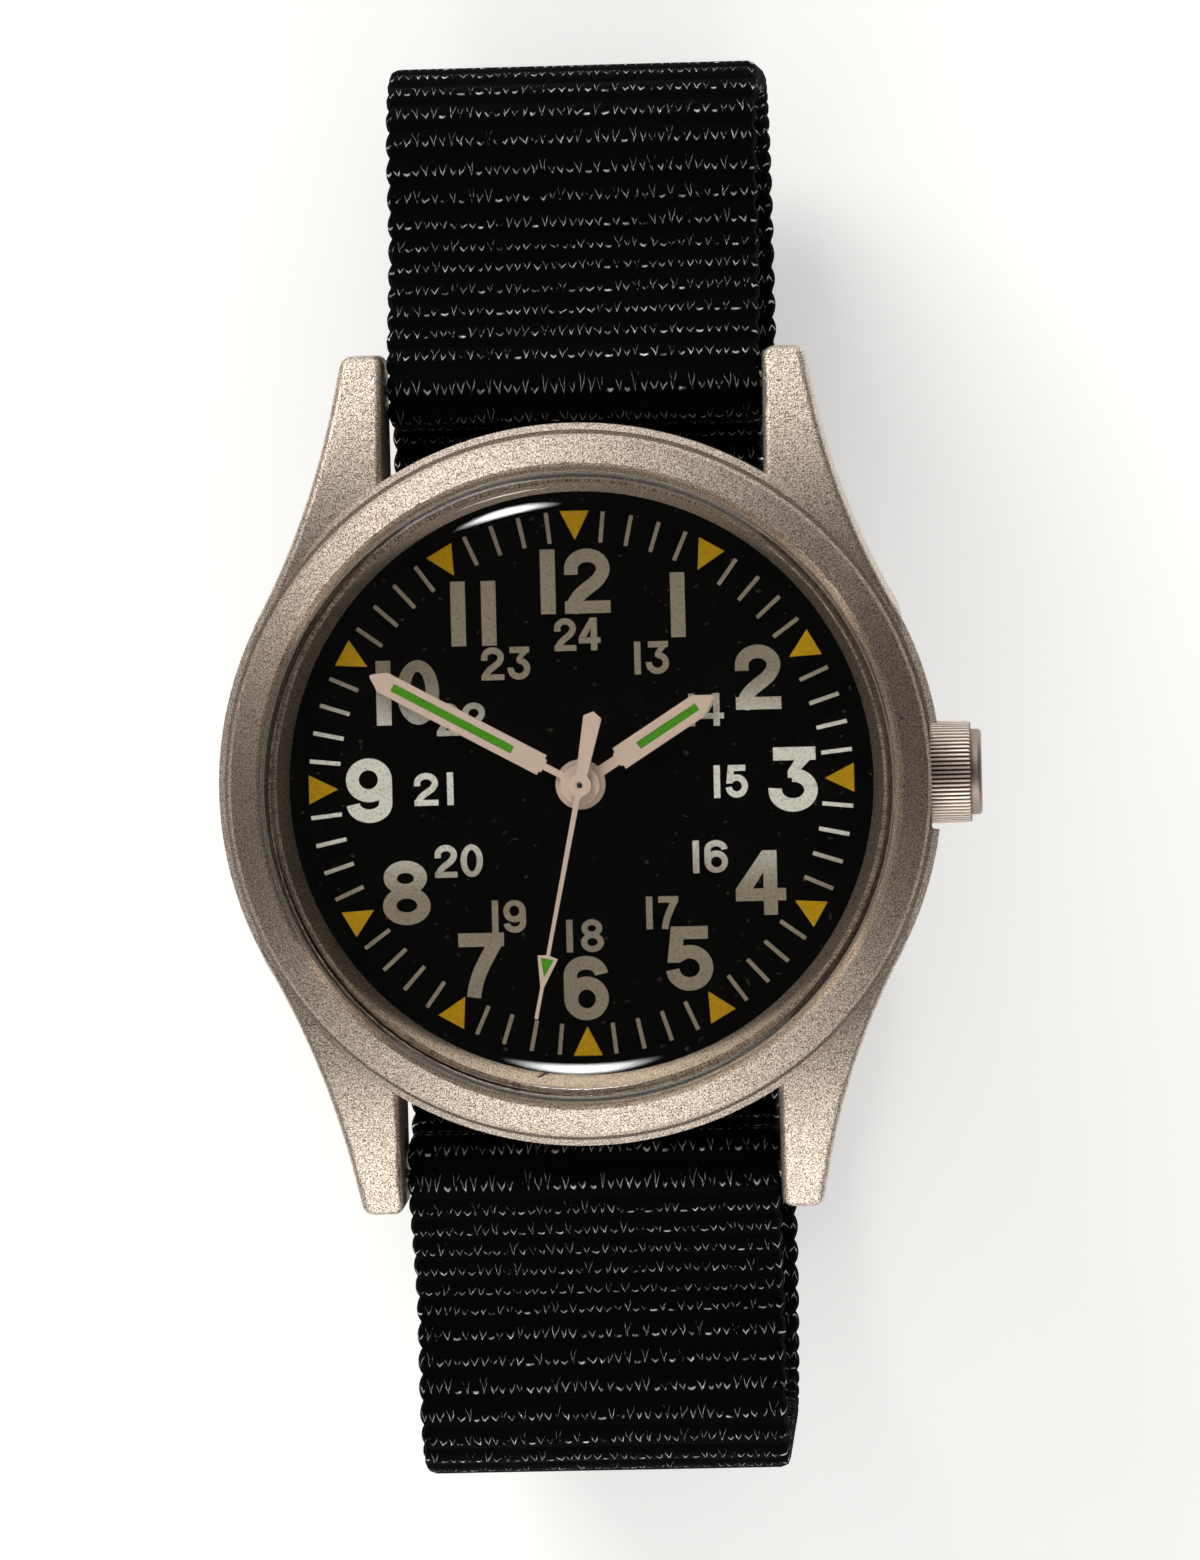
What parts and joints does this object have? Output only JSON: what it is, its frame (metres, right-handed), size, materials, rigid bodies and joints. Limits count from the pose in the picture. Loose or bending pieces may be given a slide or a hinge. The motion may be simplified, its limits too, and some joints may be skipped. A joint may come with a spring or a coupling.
{
  "type": "field watch",
  "caption": "Round steel field watch with fixed lug case, domed crystal, black dial with plain numbers, hand-wound movement and one-piece ribbed strap buckled in a loop.",
  "frame": {"origin": "centre of the fixed keeper's flat outer face, on the surface that the looped watch stands on, straight under the hands' axis", "axes": "+X to the crown at three o'clock, +Y to twelve o'clock, +Z out of the crystal"},
  "size_m": [0.0361, 0.0684, 0.044],
  "materials": {
    "blasted_steel": "bead blasted",
    "flank_steel": "satin",
    "crown_steel": "satin, turned",
    "acrylic": "polished clear",
    "dial_lacquer": "gloss lacquer",
    "hand_paint": "satin",
    "lume": "matte filled",
    "rubber_seal": "matte",
    "webbing": "ribbed woven nylon",
    "buckle_steel": "satin",
    "movement_nickel": "grained nickel plate",
    "gear_brass": "satin gilt",
    "gear_steel": "polished",
    "spring_steel": "tempered",
    "ruby": "polished"
  },
  "bodies": {
    "case": {"mid_case": "blasted_steel", "bezel": "blasted_steel", "crystal": "acrylic", "rehaut_ring": "blasted_steel", "dial": "dial_lacquer", "case_back": "flank_steel", "case_back_gasket": "rubber_seal", "crown_tube": "crown_steel", "main_plate": "movement_nickel", "barrel_bridge": "movement_nickel", "train_bridge": "movement_nickel", "balance_cock": "movement_nickel", "pallet_bridge": "movement_nickel", "jewels": "ruby", "movement_screws": "gear_steel", "setting_lever": "gear_steel", "movement_ring": "movement_nickel", "strap": "webbing", "fixed_keeper": "webbing", "buckle_pin": "buckle_steel", "upper_bar_tube": "gear_steel", "upper_bar_spring": "spring_steel", "lower_bar_tube": "gear_steel", "lower_bar_spring": "spring_steel"},
    "crown_carriage": {"crown_seal": "rubber_seal"},
    "crown": {"crown": "crown_steel", "stem": "gear_steel"},
    "stem_pinions": {"winding_pinion": "gear_steel", "sliding_pinion": "gear_steel"},
    "hour": {"hour_hand": "hand_paint", "hour_hand_lume": "lume", "hour_wheel": "gear_brass"},
    "minute": {"minute_hand": "hand_paint", "minute_hand_lume": "lume", "cannon_pinion": "gear_steel"},
    "second": {"second_hand": "hand_paint", "second_hand_lume": "lume", "seconds_wheel": "gear_brass"},
    "minute_wheel": {"minute_wheel": "gear_brass"},
    "third_wheel": {"third_wheel": "gear_brass"},
    "second_wheel": {"second_wheel": "gear_brass"},
    "barrel": {"barrel": "gear_brass", "mainspring": "spring_steel"},
    "ratchet": {"barrel_arbor": "gear_steel", "ratchet_wheel": "gear_steel"},
    "crown_wheel": {"crown_wheel": "gear_steel"},
    "click": {"click": "gear_steel"},
    "escape_wheel": {"escape_wheel": "gear_steel"},
    "pallet": {"pallet_fork": "gear_steel"},
    "balance": {"balance": "gear_brass", "hairspring": "spring_steel"},
    "buckle_frame": {"buckle_frame": "buckle_steel"},
    "buckle_prong": {"buckle_prong": "buckle_steel"},
    "sliding_keeper": {"sliding_keeper": "webbing"},
    "upper_bar_tip_crown_side": {"upper_bar_tip_crown_side": "gear_steel"},
    "upper_bar_tip_far_side": {"upper_bar_tip_far_side": "gear_steel"},
    "lower_bar_tip_crown_side": {"lower_bar_tip_crown_side": "gear_steel"},
    "lower_bar_tip_far_side": {"lower_bar_tip_far_side": "gear_steel"}
  },
  "joints": [
    {"name": "minute_hand_turn", "type": "hinge", "parent": "case", "child": "minute", "pos_m": [0, 0, 0.0374], "axis": [0, 0, -1], "continuous": true},
    {"name": "hour_hand_turn", "type": "hinge", "parent": "case", "child": "hour", "pos_m": [0, 0, 0.0374], "axis": [0, 0, -1], "continuous": true},
    {"name": "minute_wheel_turn", "type": "hinge", "parent": "case", "child": "minute_wheel", "pos_m": [0, -0.0024, 0.0374], "axis": [0, 0, -1], "continuous": true},
    {"name": "second_hand_turn", "type": "hinge", "parent": "case", "child": "second", "pos_m": [0, 0, 0.0374], "axis": [0, 0, -1], "continuous": true},
    {"name": "third_wheel_turn", "type": "hinge", "parent": "case", "child": "third_wheel", "pos_m": [-0.00313, 0.0018, 0.0374], "axis": [0, 0, -1], "continuous": true},
    {"name": "second_wheel_turn", "type": "hinge", "parent": "case", "child": "second_wheel", "pos_m": [-0.00275, 0.00561, 0.0374], "axis": [0, 0, -1], "continuous": true},
    {"name": "barrel_turn", "type": "hinge", "parent": "case", "child": "barrel", "pos_m": [0.00299, 0.00591, 0.0374], "axis": [0, 0, -1], "continuous": true},
    {"name": "escape_wheel_turn", "type": "hinge", "parent": "case", "child": "escape_wheel", "pos_m": [0.00154, -0.00267, 0.0374], "axis": [0, 0, -1], "continuous": true},
    {"name": "ratchet_turn", "type": "hinge", "parent": "case", "child": "ratchet", "pos_m": [0.00299, 0.00591, 0.0374], "axis": [0, 0, 1], "continuous": true},
    {"name": "crown_wheel_turn", "type": "hinge", "parent": "case", "child": "crown_wheel", "pos_m": [0.0064, 0, 0.0374], "axis": [0, 0, 1], "continuous": true},
    {"name": "crown_pull", "type": "slide", "parent": "case", "child": "crown_carriage", "axis": [1, 0, 0], "range_m": [0, 0.001]},
    {"name": "crown_turn", "type": "hinge", "parent": "crown_carriage", "child": "crown", "pos_m": [0.0175, 0, 0.0366], "axis": [1, 0, 0], "continuous": true},
    {"name": "stem_pinions_turn", "type": "hinge", "parent": "case", "child": "stem_pinions", "pos_m": [0.0095, 0, 0.0366], "axis": [1, 0, 0], "continuous": true},
    {"name": "click_lift", "type": "hinge", "parent": "case", "child": "click", "pos_m": [-0.00155, 0.00745, 0.0346], "axis": [0, 0, 1], "range_deg": [0, 6]},
    {"name": "pallet_rock", "type": "hinge", "parent": "case", "child": "pallet", "pos_m": [0.00354, -0.00484, 0.0364], "axis": [0, 0, 1], "range_deg": [-3, 3]},
    {"name": "balance_swing", "type": "hinge", "parent": "case", "child": "balance", "pos_m": [0.0046, -0.00599, 0.0364], "axis": [0, 0, 1], "range_deg": [-135, 135]},
    {"name": "buckle_frame_swing", "type": "hinge", "parent": "case", "child": "buckle_frame", "pos_m": [0, -0.009, 0.0035], "axis": [1, 0, 0], "range_deg": [0, 4]},
    {"name": "prong_lift", "type": "hinge", "parent": "buckle_frame", "child": "buckle_prong", "pos_m": [0, -0.009, 0.0035], "axis": [1, 0, 0], "range_deg": [0, 3]},
    {"name": "sliding_keeper_slide", "type": "slide", "parent": "case", "child": "sliding_keeper", "axis": [0, 1, 0], "range_m": [-0.0048, 0.008]},
    {"name": "upper_bar_tip_crown_side_press", "type": "slide", "parent": "case", "child": "upper_bar_tip_crown_side", "axis": [-1, 0, 0], "range_m": [0, 0.001], "stiffness_N_per_m": 400, "springref_m": -0.001, "deforming": ["upper_bar_spring"]},
    {"name": "upper_bar_tip_far_side_press", "type": "slide", "parent": "case", "child": "upper_bar_tip_far_side", "axis": [1, 0, 0], "range_m": [0, 0.001], "stiffness_N_per_m": 400, "springref_m": -0.001, "deforming": ["upper_bar_spring"]},
    {"name": "lower_bar_tip_crown_side_press", "type": "slide", "parent": "case", "child": "lower_bar_tip_crown_side", "axis": [-1, 0, 0], "range_m": [0, 0.001], "stiffness_N_per_m": 400, "springref_m": -0.001, "deforming": ["lower_bar_spring"]},
    {"name": "lower_bar_tip_far_side_press", "type": "slide", "parent": "case", "child": "lower_bar_tip_far_side", "axis": [1, 0, 0], "range_m": [0, 0.001], "stiffness_N_per_m": 400, "springref_m": -0.001, "deforming": ["lower_bar_spring"]}
  ],
  "couplings": [
    {"joint": "hour_hand_turn", "follows": "minute_hand_turn", "ratio": 0.083333},
    {"joint": "minute_wheel_turn", "follows": "minute_hand_turn", "ratio": -0.33333},
    {"joint": "third_wheel_turn", "follows": "second_hand_turn", "ratio": -0.13333},
    {"joint": "second_wheel_turn", "follows": "second_hand_turn", "ratio": 0.016667},
    {"joint": "barrel_turn", "follows": "second_hand_turn", "ratio": -0.0025},
    {"joint": "escape_wheel_turn", "follows": "second_hand_turn", "ratio": -10},
    {"joint": "stem_pinions_turn", "follows": "crown_turn", "ratio": 1},
    {"joint": "crown_wheel_turn", "follows": "crown_turn", "ratio": 0.33333},
    {"joint": "ratchet_turn", "follows": "crown_turn", "ratio": -0.2963}
  ]
}
